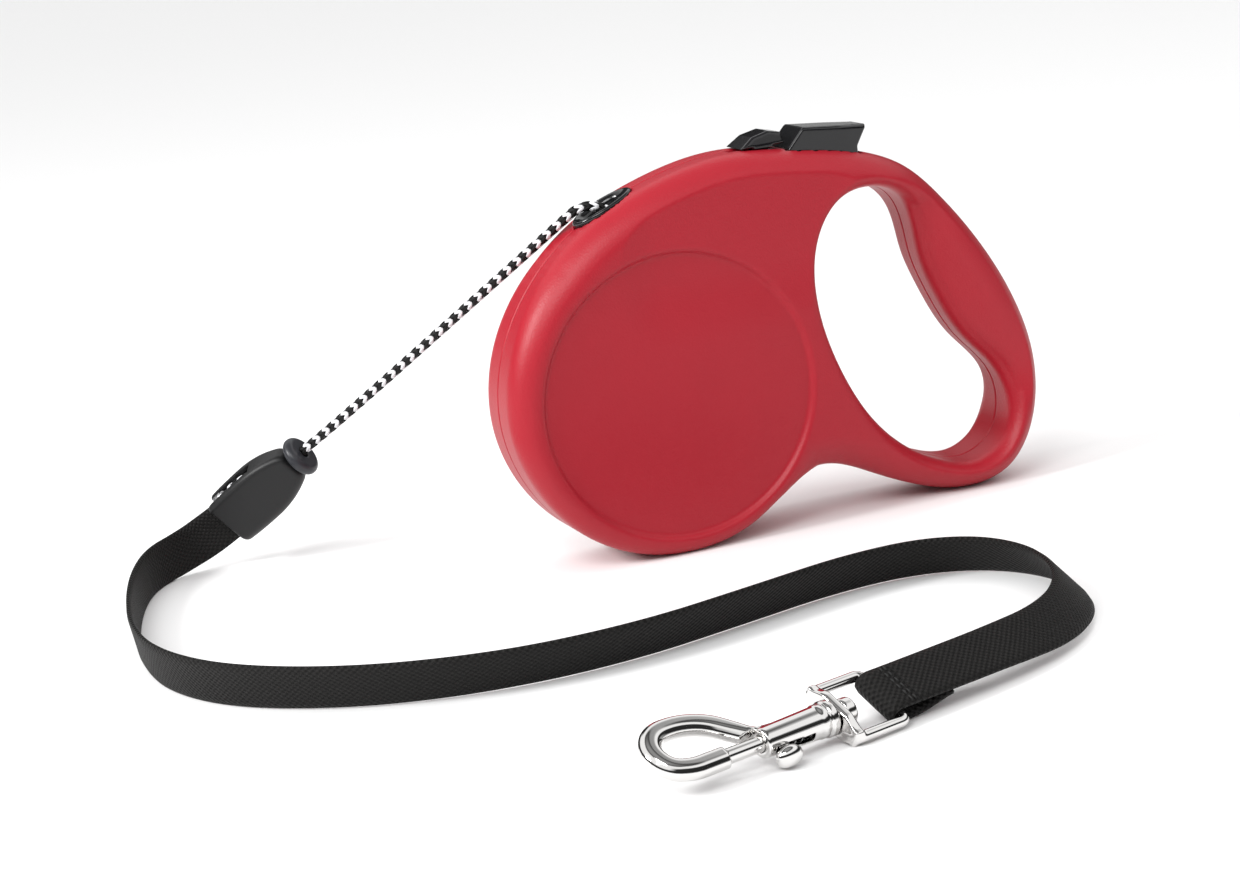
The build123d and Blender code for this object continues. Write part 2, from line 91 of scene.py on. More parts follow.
STRAP_ROUTE = [
    (-146.8, 74.0, 18.1, 0), (-155.6, 80.2, 11.0, 0), (-166.5, 79.5, 7.0, 0),
    (-177.5, 68, 6.9, 0), (-186.5, 45, 6.9, 3), (-193.8, 15, 6.9, 6), (-197.5, -12, 6.9, 10),
    (-196.5, -37, 6.9, 14), (-187.5, -60, 6.8, 18), (-171, -79, 6.8, 22), (-148, -94, 6.7, 26),
    (-118, -102.5, 6.5, 30), (-85, -102, 6.4, 31), (-52, -93.5, 6.4, 31), (-22, -85, 6.4, 31),
    (3, -84, 6.3, 32), (20, -95, 6.2, 34), (26.5, -116, 6.1, 38), (20.5, -141, 5.9, 44),
    (3, -162, 6.5, 52), (-22, -174.4, 8.0, 60), (-50.0, -182.9, 8.0, 62),
]
STRAP_W, STRAP_T, STRAP_LENGTH = 13.5, 1.5, 0.527

# swivel ring and snap hook: s runs from the strap to the hook's eye, n across, t through
STRAP_END = Vector(STRAP_ROUTE[-1][:3])
S_DIR = (STRAP_END - Vector(STRAP_ROUTE[-2][:3])).normalized()
LEAN_END = math.radians(STRAP_ROUTE[-1][3])
M_DIR = S_DIR.cross(Vector((0, 0, 1)))
N_DIR = Vector((0, 0, 1)) * math.cos(LEAN_END) + M_DIR * math.sin(LEAN_END)
T_DIR = S_DIR.cross(N_DIR)
BAR_R, LAYER_MID = 1.4, 2.3
BAR_AT = STRAP_END + S_DIR * 6.0 + T_DIR * LAYER_MID
RING_HALF_W, RING_L, PLATE_T = 8.6, 15.0, 2.6
HOOK_S = RING_L + PLATE_T / 2 + 0.3
PIN_R, JAW_TIP = 1.98, 31.5
BEVEL = 0.7071               # of a sum of two distances, for a face at 45 degrees
FAR_INSIDE = -9              # a field value that leaves the other one to decide


# ---- numbers on grids ---------------------------------------------------------------------------
def ramp(t):
    """0 below 0, 1 above 1, smooth between."""
    t = np.clip(t, 0, 1)
    return t * t * (3 - 2 * t)


def smooth_max(a, b, k):
    h = np.clip(k - np.abs(a - b), 0, k) / k
    return np.maximum(a, b) + h * h * k / 4


def smooth_min(a, b, k):
    return -smooth_max(-a, -b, k)


def smooth_loop(points, per=26):
    """Points along the closed curve through the given ones, with no jump in its curvature."""
    p = np.array(points, float)
    n = len(p)
    step = np.roll(p, -1, 0) - p
    h = np.linalg.norm(step, axis=1)
    slope = step / h[:, None]
    system, wanted = np.zeros((n, n)), np.zeros((n, 2))
    for i in range(n):
        system[i, i - 1] += h[i]
        system[i, i] += 2 * (h[i - 1] + h[i])
        system[i, (i + 1) % n] += h[i - 1]
        wanted[i] = 3 * (h[i] * slope[i - 1] + h[i - 1] * slope[i])
    tangent = np.linalg.solve(system, wanted)
    t = (np.arange(per) / per)[:, None]
    line = []
    for i in range(n):
        j = (i + 1) % n
        line.append((2 * t**3 - 3 * t**2 + 1) * p[i] + (t**3 - 2 * t**2 + t) * h[i] * tangent[i]
                    + (3 * t**2 - 2 * t**3) * p[j] + (t**3 - t**2) * h[i] * tangent[j])
    return np.concatenate(line)


def segment_distance(points, line):
    """Distance of 2-D points from a polyline."""
    a, b = line[:-1], line[1:]
    best = np.full(len(points), 1e9)
    for start in range(0, len(points), 4000):
        p = points[start:start + 4000, None, :]
        along = ((p - a) * (b - a)).sum(-1) / ((b - a) ** 2).sum(-1)
        foot = a + np.clip(along, 0, 1)[..., None] * (b - a)
        best[start:start + 4000] = np.sqrt(((p - foot) ** 2).sum(-1).min(1))
    return best


def inside_loop(points, loop):
    """Whether each 2-D point lies inside a closed polyline."""
    x, z = points.T
    odd = np.zeros(len(points), bool)
    for (x0, z0), (x1, z1) in zip(loop, np.roll(loop, -1, 0)):
        if z0 != z1:
            odd ^= ((z0 > z) != (z1 > z)) & (x < (x1 - x0) * (z - z0) / (z1 - z0) + x0)
    return odd


class Distance:
    """Signed distance from a closed loop, negative inside, kept on a grid and read smoothly."""
    STEP, LOW, HIGH = 0.6, (-90.0, -6.0), (90.0, 118.0)

    def __init__(self, loop):
        axes = [np.arange(lo, hi, self.STEP) for lo, hi in zip(self.LOW, self.HIGH)]
        grid = np.stack(np.meshgrid(*axes, indexing="ij"), -1).reshape(-1, 2)
        closed = np.concatenate([loop, loop[:1]])
        far = segment_distance(grid, closed)
        far[inside_loop(grid, loop)] *= -1
        self.table = far.reshape(len(axes[0]), len(axes[1]))

    def at(self, x, z):
        value = 0.0
        spots = []
        for place, low, count in zip((x, z), self.LOW, self.table.shape):
            f = (np.clip(place, low + 1.3, low + (count - 3) * self.STEP) - low) / self.STEP
            i = np.floor(f).astype(int)
            t = f - i
            weights = ((-t**3 + 2 * t**2 - t) / 2, (3 * t**3 - 5 * t**2 + 2) / 2,
                       (-3 * t**3 + 4 * t**2 + t) / 2, (t**3 - t**2) / 2)
            spots.append((i, weights))
        (i, wi), (j, wj) = spots
        for a in range(4):
            for b in range(4):
                value = value + wi[a] * wj[b] * self.table[i + a - 1, j + b - 1]
        return value


def surface_of(field, axes):
    """Vertices and quads of the surface where field(x, y, z) is 0, negative inside."""
    grid = np.stack(np.meshgrid(*axes, indexing="ij"), -1)
    value = field(*np.moveaxis(grid, -1, 0))
    cells = tuple(n - 1 for n in value.shape)
    total, count = np.zeros(cells + (3,)), np.zeros(cells, int)
    edges = []
    for a in range(3):
        b, c = (a + 1) % 3, (a + 2) % 3
        low = tuple(slice(None, -1) if k == a else slice(None) for k in range(3))
        high = tuple(slice(1, None) if k == a else slice(None) for k in range(3))
        v0, v1 = value[low], value[high]
        where = np.argwhere((v0 < 0) != (v1 < 0))
        v0, v1 = v0[tuple(where.T)], v1[tuple(where.T)]
        p0, p1 = grid[low][tuple(where.T)], grid[high][tuple(where.T)]
        crossing = p0 + (p1 - p0) * (v0 / (v0 - v1))[:, None]
        ring = []
        for db, dc in ((0, 0), (1, 0), (1, 1), (0, 1)):
            cell = where.copy()
            cell[:, b] -= db
            cell[:, c] -= dc
            ring.append(tuple(cell.T))
            np.add.at(total, ring[-1], crossing)
            np.add.at(count, ring[-1], 1)
        edges.append((ring, v0 < 0))
    used = count > 0
    index = np.full(cells, -1)
    index[used] = np.arange(used.sum())
    points = total[used] / count[used][:, None]
    quads = []
    for ring, outwards in edges:
        quad = np.stack([index[cell] for cell in ring], 1)
        quad[~outwards] = quad[~outwards][:, ::-1]
        quads.append(quad)
    reach = min(np.diff(axis).min() for axis in axes)
    for _ in range(SETTLE_STEPS):
        points = points - step_to(field, points, reach)
    return points, np.concatenate(quads)


def step_to(field, points, reach):
    """The move that brings each point nearer to the field's surface, at most reach long."""
    size = 0.01
    here = field(*points.T)
    slope = np.stack([(field(*(points + d).T) - field(*(points - d).T)) / (2 * size)
                      for d in np.eye(3) * size], 1)
    steep = np.maximum((slope**2).sum(1), 0.2)
    return slope * np.clip(here / steep, -reach, reach)[:, None]


# ---- pieces -------------------------------------------------------------------------------------
def add_piece(name, points, faces, body, slot, material, replaces=()):
    """A mesh from points in mm, on its body, with the nodes it stands for; the slot argument is not
    used.
    """
    mesh = bpy.data.meshes.new(name)
    faces = faces.tolist() if isinstance(faces, np.ndarray) else faces
    mesh.from_pydata((np.asarray(points) * MM).tolist(), [], faces)
    mesh.shade_smooth()
    piece = bpy.data.objects.new(name, mesh)
    bpy.context.scene.collection.objects.link(piece)
    for one in material if isinstance(material, (list, tuple)) else [material]:
        mesh.materials.append(one)
    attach(piece, body)
    if replaces:
        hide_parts(*replaces)
    return piece


def implicit(name, field, low, high, cell, place=None, **options):
    """A piece from a field in its own axes, then placed by a 4x4 matrix in mm."""
    cell = cell if FINE else cell * 1.5
    axes = [np.linspace(a, b, int((b - a) / cell) + 2) for a, b in zip(low, high)]
    points, quads = surface_of(field, axes)
    if place is not None:
        turn = np.array(place)
        points = points @ turn[:3, :3].T + turn[:3, 3]
    return add_piece(name, points, quads, **options)


def axes_at(origin, x_dir, y_dir, z_dir):
    """A 4x4 matrix with these axes as its columns."""
    place = Matrix.Identity(4)
    for column, vector in enumerate((x_dir, y_dir, z_dir, origin)):
        for row in range(3):
            place[row][column] = vector[row]
    return place


# ---- materials ----------------------------------------------------------------------------------
def make_material(name, colour, roughness, metallic=0.0, coat=0.0, bumps=(), blotch=0.0,
                  rough_vary=0.0, gloss=0.5, sheen=0.0):
    """Principled material; bumps are (scale per m, detail, strength, distance mm) of noise."""
    material = bpy.data.materials.new(name)
    material.use_nodes = True
    nodes, links = material.node_tree.nodes, material.node_tree.links
    shader = nodes["Principled BSDF"]
    shader.inputs["Base Color"].default_value = (*colour, 1)
    shader.inputs["Roughness"].default_value = roughness
    shader.inputs["Metallic"].default_value = metallic
    shader.inputs["Coat Weight"].default_value = coat
    shader.inputs["Sheen Weight"].default_value = sheen
    shader.inputs["Specular IOR Level"].default_value = gloss
    place = nodes.new("ShaderNodeTexCoord")
    before = None
    for scale, detail, strength, distance in bumps:
        noise = nodes.new("ShaderNodeTexNoise")
        noise.inputs["Scale"].default_value = scale
        noise.inputs["Detail"].default_value = detail
        links.new(place.outputs["Object"], noise.inputs["Vector"])
        bump = nodes.new("ShaderNodeBump")
        bump.inputs["Strength"].default_value = strength
        bump.inputs["Distance"].default_value = distance * MM
        links.new(noise.outputs["Fac"], bump.inputs["Height"])
        if before:
            links.new(before.outputs["Normal"], bump.inputs["Normal"])
        before = bump
    if before:
        links.new(before.outputs["Normal"], shader.inputs["Normal"])
    if blotch or rough_vary:
        cloud = nodes.new("ShaderNodeTexNoise")
        cloud.inputs["Scale"].default_value = 45
        cloud.inputs["Detail"].default_value = 6
        links.new(place.outputs["Object"], cloud.inputs["Vector"])
        if blotch:
            tone = nodes.new("ShaderNodeMapRange")
            tone.inputs["To Min"].default_value = 1 - blotch
            tone.inputs["To Max"].default_value = 1 + blotch
            links.new(cloud.outputs["Fac"], tone.inputs["Value"])
            shade = nodes.new("ShaderNodeVectorMath")
            shade.operation = "SCALE"
            shade.inputs[0].default_value = colour
            links.new(tone.outputs["Result"], shade.inputs["Scale"])
            links.new(shade.outputs["Vector"], shader.inputs["Base Color"])
        if rough_vary:
            rough = nodes.new("ShaderNodeMapRange")
            rough.inputs["To Min"].default_value = roughness - rough_vary
            rough.inputs["To Max"].default_value = roughness + rough_vary
            links.new(cloud.outputs["Fac"], rough.inputs["Value"])
            links.new(rough.outputs["Result"], shader.inputs["Roughness"])
    return material


red = make_material("red_plastic", (0.37, 0.0085, 0.02), 0.4, bumps=[(1900, 3, 0.8, 0.1)],
                    blotch=0.05, rough_vary=0.04, gloss=0.36)
gloss_black = make_material("gloss_black", (0.006, 0.006, 0.007), 0.13, coat=0.2,
                            bumps=[(900, 1, 0.08, 0.02)], rough_vary=0.03, gloss=0.45)
connector_grey = make_material("connector_grey", (0.009, 0.009, 0.0095), 0.42,
                               bumps=[(5000, 2, 0.5, 0.04)], blotch=0.15, rough_vary=0.05,
                               gloss=0.35)
bead_grey = make_material("bead_grey", (0.024, 0.025, 0.03), 0.36,
                          bumps=[(4000, 2, 0.3, 0.03)], blotch=0.1, rough_vary=0.05, gloss=0.4)
chrome = make_material("hook_chrome", (0.7, 0.69, 0.68), 0.06, metallic=1.0,
                       bumps=[(160, 2, 0.05, 0.12)], rough_vary=0.03)
steel = make_material("steel", (0.55, 0.55, 0.56), 0.28, metallic=1.0, bumps=[(700, 2, 0.1, 0.05)],
                      rough_vary=0.08)
yarn_black = make_material("cord_black", (0.006, 0.006, 0.006), 0.6,
                           bumps=[(9000, 2, 0.6, 0.05)], blotch=0.25, gloss=0.25)
yarn_white = make_material("cord_white", (0.74, 0.74, 0.76), 0.6, sheen=0.1,
                           bumps=[(9000, 2, 0.6, 0.05)], blotch=0.1, gloss=0.3)


# ---- casing -------------------------------------------------------------------------------------
out_line = smooth_loop(OUTER)
hole_line = smooth_loop(OPENING)
out_gap, hole_gap = Distance(out_line), Distance(hole_line)


def rounded_side(edge, y, half, radius):
    """Field of a plate of half thickness half whose rim, at edge = 0, is rounded."""
    across, through = edge + radius, np.abs(y) - half + radius
    return (np.minimum(np.maximum(across, through), 0)
            + np.hypot(np.maximum(across, 0), np.maximum(through, 0)) - radius)


def grip_share(x, z):
    """1 along the grip and 0 at the disc, with soft ends."""
    return ramp((x - 38) / 14) * ramp((z - 12) / 24) * ramp((104 - z) / 18)


def casing_form(x, y, z, panel=True):
    edge, hole = out_gap.at(x, z), -hole_gap.at(x, z)
    centre = np.hypot(x - SPOOL_X, z - SPOOL_Z)
    grip = grip_share(x, z)
    loop = ramp((x - 18) / 26)
    room = np.clip(centre - edge - PANEL_R, 3.6, 10.5)
    outer_r = np.where(x < 20, room, 10.5) * (1 + 0.12 * grip)
    inner_r = 3.2 + 3.5 * loop - 1.5 * grip
    width = np.maximum(-edge - hole - 6.5, 4.0)
    across = np.clip((-edge - 4.2) / width, 0, 1)
    half = HALF_T - 6.0 * grip * across ** 0.9
    form = smooth_max(rounded_side(edge, y, half, outer_r),
                      rounded_side(hole, y, half, inner_r), 0.6)
    web = 1.0 * ramp((x + 50) / 14) * ramp((34 - x) / 16) * ramp((z - 60) / 20)
    form = np.maximum(form, np.abs(y) - HALF_T + web)
    if panel:
        floor = HALF_T - web - PANEL_DEPTH * ramp((PANEL_R - centre) / 1.8)
        form = np.maximum(form, np.abs(y) - floor)
    return form


def casing_field(side):
    """Field of one half shell: its wall round the hollow, and what is cut through it."""
    def field(x, y, z):
        form = casing_form(x, y, z)
        hollow = casing_form(x, y, z, panel=False) + WALL
        for sx, sz, _ in SCREWS:
            hollow = np.maximum(hollow, BOSS_R - np.hypot(x - sx, z - sz))
        hollow = np.maximum(hollow, -np.maximum(np.hypot(x - SPOOL_X, z - SPOOL_Z) - HUB_R,
                                                HUB_END - np.abs(y)))
        form = np.maximum(form, -hollow)
        ox, oz = x - OUTLET[0], z - OUTLET[2]
        u = ox * OUTLET_ALONG[0] + oz * OUTLET_ALONG[2]
        w = ox * OUTLET_OUT[0] + oz * OUTLET_OUT[2]
        port = (np.sqrt((u / 9.95) ** 2 + (y / 6.45) ** 2) - 1) * 6.4
        form = np.maximum(form, -np.maximum(port, -w - 6.5))
        brake = np.maximum(np.maximum(np.abs(x - 22.2) - 12.2, np.abs(y) - 7.4), 99.5 - z)
        lock = np.maximum(np.maximum(np.abs(x - 1.0) - 6.5, np.abs(y) - 2.5), 104 - z)
        form = np.maximum(form, -np.minimum(brake, lock))
        if side > 0:
            for sx, sz, seat in SCREWS:
                r = np.hypot(x - sx, z - sz)
                hole = np.minimum(r - SCREW_HOLE_R, np.maximum(r - SCREW_HEAD_R, seat - y))
                form = smooth_max(form, -hole, 0.3)
        groove = SEAM_DEPTH * np.exp(-(y / SEAM_HALF_W) ** 2)
        return np.maximum(form + groove, -side * y)
    return field


def casing_half(name, side, node):
    cell = 0.75 if FINE else 1.3
    thin = np.array([-0.3, 0.0, 0.12, 0.24, 0.4, 0.6, 0.9])
    ys = np.concatenate([thin, np.arange(1.4, HALF_T + 1.2, cell)])
    ys = ys if side > 0 else -ys[::-1]
    axes = [np.arange(-85.5, 85.5, cell), ys, np.arange(-1.5, 113.5, cell)]
    points, quads = surface_of(casing_field(side), axes)
    return add_piece(name, points, quads, "housing", "shell_red", red, [node])


casing_half("casing_near", -1, "near_shell")
casing_half("casing_far", 1, "far_shell")


# ---- cord ---------------------------------------------------------------------------------------
def smooth_path(points, step):
    """Evenly spaced points, in mm, read from the smooth line that a route's points control."""
    data = bpy.data.curves.new("route", "CURVE")
    data.dimensions = "3D"
    spline = data.splines.new("NURBS")
    spline.points.add(len(points) - 1)
    for point, at in zip(spline.points, points):
        point.co = (*(Vector(at) * MM), 1)
    spline.order_u = 3
    spline.use_endpoint_u = True
    data.resolution_u = 24
    route = bpy.data.objects.new("route", data)
    line = bpy.data.meshes.new_from_object(route)
    path = np.array([tuple(v.co) for v in line.vertices]) / MM
    for leftover, store in ((route, bpy.data.objects), (line, bpy.data.meshes)):
        store.remove(leftover)
    bpy.data.curves.remove(data)
    runs = np.concatenate([[0], np.cumsum(np.linalg.norm(np.diff(path, axis=0), axis=1))])
    places = np.linspace(0, runs[-1], int(runs[-1] / step) + 1)
    return np.stack([np.interp(places, runs, path[:, k]) for k in range(3)], 1)


def unit(vectors):
    return vectors / np.linalg.norm(vectors, axis=-1, keepdims=True)


def frames_along(path):
    """Tangent and two side directions at each point, turning as little as they can."""
    tangent = unit(np.gradient(path, axis=0))
    side = np.zeros_like(path)
    side[0] = unit(np.cross(tangent[0], (0.3, 1, 0.1)))
    for i in range(1, len(path)):
        moved = side[i - 1] - tangent[i] * (side[i - 1] @ tangent[i])
        side[i] = moved / np.linalg.norm(moved)
    return tangent, side, np.cross(tangent, side)


def tube_faces(rings, around, start=0):
    """Quads between rings of points, and a face at each end."""
    k = np.arange(around)
    first = start + np.arange(rings - 1)[:, None] * around
    faces = np.stack([first + k, first + (k + 1) % around,
                      first + around + (k + 1) % around, first + around + k], -1)
    faces = faces.reshape(-1, 4).tolist()
    faces.append((start + k[::-1]).tolist())
    faces.append((start + (rings - 1) * around + k).tolist())
    return faces


def section_tube(centre, side, other, half_side, half_other, around=8):
    """Rings of an elliptical section along a line."""
    turn = np.arange(around) * 2 * math.pi / around
    return (centre[:, None] + np.cos(turn)[None, :, None] * side[:, None] * half_side
            + np.sin(turn)[None, :, None] * other[:, None] * half_other).reshape(-1, 3)


COLUMNS, ROW_PITCH = 6, 2.05         # float columns round the cord, and rows along it
FLOAT_AT, FLOAT_W, FLOAT_T, FLOAT_RISE = 1.14, 0.52, 0.2, 1.35
CORE_R, CORE_SIDES = 1.02, 12


def braided_cord(path):
    """A dark core under the braid's floats: they lean left and right by turns, in shaded rows."""
    tangent, side, other = frames_along(path)
    run = np.concatenate([[0], np.cumsum(np.linalg.norm(np.diff(path, axis=0), axis=1))])
    points = [section_tube(path, side, other, CORE_R, CORE_R, CORE_SIDES)]
    faces = tube_faces(len(path), CORE_SIDES)
    shades = [0] * len(faces)
    start = len(points[0])
    middle = len(path) // 2
    facing = math.atan2(other[middle] @ np.array(CAMERA_BACK), side[middle] @ np.array(CAMERA_BACK))
    t = np.linspace(-1, 1, 7)

    def at(table, places):
        return np.stack([np.interp(places, run, table[:, k]) for k in range(3)], 1)

    for row in range(1, int(run[-1] / ROW_PITCH)):
        for column in range(COLUMNS):
            lean = -1 if column % 2 else 1
            places = row * ROW_PITCH + t * FLOAT_RISE * lean
            if places.min() < 0 or places.max() > run[-1]:
                continue
            angle = (facing + (column + 0.5 + 0.54 * t) * 2 * math.pi / COLUMNS)[:, None]
            radial = unit(at(side, places) * np.cos(angle) + at(other, places) * np.sin(angle))
            reach = FLOAT_AT + 0.1 * (1 - t**4) - 0.12 * t**4
            centre = at(path, places) + radial * reach[:, None]
            across = unit(np.cross(np.gradient(centre, axis=0), radial))
            slim = np.sqrt(1.02 - t**6)[:, None]
            points.append(section_tube(centre, across * slim, radial * slim, FLOAT_W, FLOAT_T))
            float_faces = tube_faces(len(t), 8, start)
            faces += float_faces
            shades += [row % 2] * len(float_faces)
            start += len(points[-1])
    piece = add_piece("cord_braid", np.concatenate(points), faces, "housing", "cord_braid",
                          [yarn_black, yarn_white], ["cord"])
    piece.data.polygons.foreach_set("material_index", shades)
    return piece


CONNECTOR_ROLL = math.radians(-22)
WIDE = Matrix.Rotation(CONNECTOR_ROLL, 3, LEAD) @ (Vector((0, 0, 1)) - LEAD * LEAD.z).normalized()
THICK = LEAD.cross(WIDE)


def in_connector(s, w=0.0, v=0.0):
    return CONNECTOR_AT + LEAD * s + WIDE * w + THICK * v


INWARD = (CORD_START - CORD_LIP).normalized()
CORD_ROUTE = [CORD_START, CORD_LIP + INWARD * 14, CORD_LIP, CORD_LIP + LEAD * 14,
              in_connector(3.5), in_connector(9.5, 4.2), in_connector(15, 7.0),
              in_connector(24.5, 6.9)]
cord_path = smooth_path(CORD_ROUTE, 0.25 if FINE else 0.4)
cord = braided_cord(cord_path)


# ---- bead and connector -------------------------------------------------------------------------
def bead_field(x, y, z):
    r = np.hypot(x, y)
    disc = np.hypot(np.maximum(r - 4.6, 0), z) - 1.82
    return smooth_max(disc, 1.46 - r, 0.5)


bead = implicit("bead", bead_field, (-7, -7, -2.5), (7, 7, 2.5), 0.3,
                axes_at(BEAD_AT, WIDE, THICK, LEAD), body="bead", slot="bead_grey",
                material=bead_grey, replaces=["cord_bead"])


def connector_field(w, v, s):
    nose = np.clip(1 - s / 17, 0, 1)
    half_w = 8.75 - 3.7 * nose**2.3 - 0.35 * np.clip((s - 21) / 9, 0, 1) ** 2
    half_v = 5.25 - 1.7 * nose**2 - 0.5 * np.clip((s - 19) / 11, 0, 1)
    corner = np.where(w > 0, 1.9, 3.4)
    qw, qv = np.abs(w) - half_w + corner, np.abs(v) - half_v + corner
    side = (np.hypot(np.maximum(qw, 0), np.maximum(qv, 0))
            + np.minimum(np.maximum(qw, qv), 0) - corner)
    form = smooth_max(side, -s, 2.2)
    form = smooth_max(form, s - CONNECTOR_L, 1.6)
    bore = np.maximum(np.hypot(w, v) - 1.55, s - 13)
    slot = np.maximum(np.maximum(np.abs(w) - np.minimum(half_w - 1.5, 7.0), np.abs(v) - 2.7),
                      7.0 - s)
    window = np.maximum(np.maximum(np.abs(w - 7.6) - 3.6, np.abs(v) - 2.5), np.abs(s - 22) - 10.2)
    return smooth_max(form, -np.minimum(np.minimum(bore, slot), window), 0.35)


connector = implicit("connector_shroud", connector_field, (-9.5, -6, -0.8), (9.5, 6, 30.8), 0.33,
                     axes_at(CONNECTOR_AT, WIDE, THICK, LEAD), body="housing",
                     slot="connector_grey", material=connector_grey, replaces=["connector_body"])


def knot_field(x, y, z):
    """Round-ended ferrule crimped on the cord's end, with a shallow neck."""
    reach = np.hypot(np.hypot(x, y), np.maximum(np.abs(z) - 1.0, 0))
    return reach - 1.75 + 0.2 * np.exp(-((z + 1.2) / 0.35) ** 2)


knot = implicit("cord_stopper", knot_field, (-2.4, -2.4, -3.4), (2.4, 2.4, 3.4), 0.2,
                axes_at(in_connector(26.0, 6.9), WIDE, THICK, LEAD), body="housing",
                slot="hook_chrome", material=steel, replaces=["cord_knot"])


# ---- strap --------------------------------------------------------------------------------------
def weave_material(name, colour, along, across):
    """Woven webbing whose black is painted lighter on the weave's raised crowns (painted highlight)
    and darker in its dips (painted shade), with random tone from fuzz; along and across are the
    weave's repeats in mm, read from the UV map in m.
    """
    material = make_material(name, colour, 0.6, gloss=0.16)
    nodes, links = material.node_tree.nodes, material.node_tree.links
    shader = nodes["Principled BSDF"]
    place = nodes.new("ShaderNodeTexCoord")
    split = nodes.new("ShaderNodeSeparateXYZ")
    links.new(place.outputs["UV"], split.inputs["Vector"])

    def node_math(operation, a, b=None):
        node = nodes.new("ShaderNodeMath")
        node.operation = operation
        for socket, value in zip(node.inputs, (a, b)):
            if isinstance(value, (int, float)):
                socket.default_value = value
            elif value is not None:
                links.new(value, socket)
        return node.outputs[0]

    wave_u = node_math("SINE", node_math("MULTIPLY", split.outputs["X"], 2000 * math.pi / along))
    wave_v = node_math("SINE", node_math("MULTIPLY", split.outputs["Y"], 2000 * math.pi / across))
    height = node_math("MULTIPLY", wave_u, wave_v)
    fuzz = nodes.new("ShaderNodeTexNoise")
    fuzz.inputs["Scale"].default_value = 2600
    fuzz.inputs["Detail"].default_value = 3
    links.new(nodes["Texture Coordinate"].outputs["Object"], fuzz.inputs["Vector"])
    total = node_math("ADD", height, node_math("MULTIPLY", fuzz.outputs["Fac"], 0.9))
    bump = nodes.new("ShaderNodeBump")
    bump.inputs["Strength"].default_value = 0.9
    bump.inputs["Distance"].default_value = 0.22 * MM
    links.new(total, bump.inputs["Height"])
    links.new(bump.outputs["Normal"], shader.inputs["Normal"])
    # Base colour scaled by the weave's height plus fuzz: painted highlight on the raised crowns,
    # painted shade in the dips, and random tone from the fuzz.
    tone = nodes.new("ShaderNodeMapRange")
    tone.inputs["From Min"].default_value = -1
    tone.inputs["From Max"].default_value = 2
    tone.inputs["To Min"].default_value = 0.2
    tone.inputs["To Max"].default_value = 4.2
    links.new(total, tone.inputs["Value"])
    shade = nodes.new("ShaderNodeVectorMath")
    shade.operation = "SCALE"
    shade.inputs[0].default_value = colour
    links.new(tone.outputs["Result"], shade.inputs["Scale"])
    links.new(shade.outputs["Vector"], shader.inputs["Base Color"])
    return material


webbing = weave_material("strap_black", (0.0045, 0.0042, 0.004), 1.9, 1.5)
thread = make_material("thread_black", (0.012, 0.012, 0.012), 0.5, gloss=0.35,
                       bumps=[(7000, 2, 0.5, 0.04)])
ACROSS = 11


def ribbon(name, centre, wide, thick, **options):
    """A webbing ribbon with soft selvedges; wide and thick are its side directions."""
    u = np.linspace(-1, 1, ACROSS)
    profile_w = np.concatenate([u, u[::-1]]) * (STRAP_W / 2 - 0.12)
    profile_t = np.concatenate([np.ones(ACROSS), -np.ones(ACROSS)]) * STRAP_T / 2
    edge = np.abs(np.concatenate([u, u])) > 0.99
    profile_t = np.where(edge, profile_t * 0.55, profile_t)
    profile_w = np.where(edge, profile_w * 1.018, profile_w)
    around = len(profile_w)
    points = (centre[:, None] + wide[:, None] * profile_w[None, :, None]
              + thick[:, None] * profile_t[None, :, None]).reshape(-1, 3)
    faces = tube_faces(len(centre), around)
    piece = add_piece(name, points, faces, **options)
    run = np.concatenate([[0], np.cumsum(np.linalg.norm(np.diff(centre, axis=0), axis=1))])
    uv = piece.data.uv_layers.new(name="UVMap")
    corner_vertex = np.zeros(len(piece.data.loops), int)
    piece.data.loops.foreach_get("vertex_index", corner_vertex)
    spots = np.stack([run[corner_vertex // around], profile_w[corner_vertex % around] + 20], 1) * MM
    uv.data.foreach_set("uv", spots.ravel())
    return piece


def strap_frames(path):
    """The strap's side directions: upright, then leaning to the right by the route's angles."""
    points = np.array([p[:3] for p in STRAP_ROUTE], float)
    reach = np.concatenate([[0], np.cumsum(np.linalg.norm(np.diff(points, axis=0), axis=1))])
    share = np.linspace(0, reach[-1], len(path))
    lean = np.radians(np.interp(share, reach, [p[3] for p in STRAP_ROUTE]))[:, None]
    lean += CONNECTOR_ROLL * (1 - ramp(share / 26))[:, None]
    heading = unit(np.gradient(path, axis=0))
    right = unit(np.cross(heading, (0, 0, 1)))
    up = np.cross(right, heading)
    wide = up * np.cos(lean) + right * np.sin(lean)
    return wide, np.cross(wide, heading)


strap_path = smooth_path([p[:3] for p in STRAP_ROUTE], 1.2)
strap = ribbon("strap_webbing", strap_path, *strap_frames(strap_path), body="housing",
               slot="strap_black", material=webbing, replaces=["strap"])


def ring_place(s, n=0.0, t=0.0):
    return BAR_AT + S_DIR * s + N_DIR * n + T_DIR * t


def fold_piece():
    """The strap's end round the ring's bar and back along itself."""
    line = [(-6.0, -LAYER_MID), (-3.0, -LAYER_MID), (0.0, -LAYER_MID)]
    for i in range(1, 12):
        a = math.pi * i / 12
        line.append((LAYER_MID * math.sin(a), -LAYER_MID * math.cos(a)))
    line += [(0.0, LAYER_MID), (-3.0, LAYER_MID), (-6.0, 2.1), (-9.0, 1.6), (-12.0, 0.7),
             (-15.0, -0.35), (-17.0, -0.75)]
    centre = np.array([tuple(ring_place(s, 0, t)) for s, t in line])
    heading = unit(np.gradient(centre, axis=0))
    wide = np.tile(np.array(N_DIR), (len(centre), 1))
    return ribbon("strap_turn", centre, wide, np.cross(wide, heading), body="housing",
                  slot="strap_black", material=webbing, replaces=["strap_fold"])


fold = fold_piece()


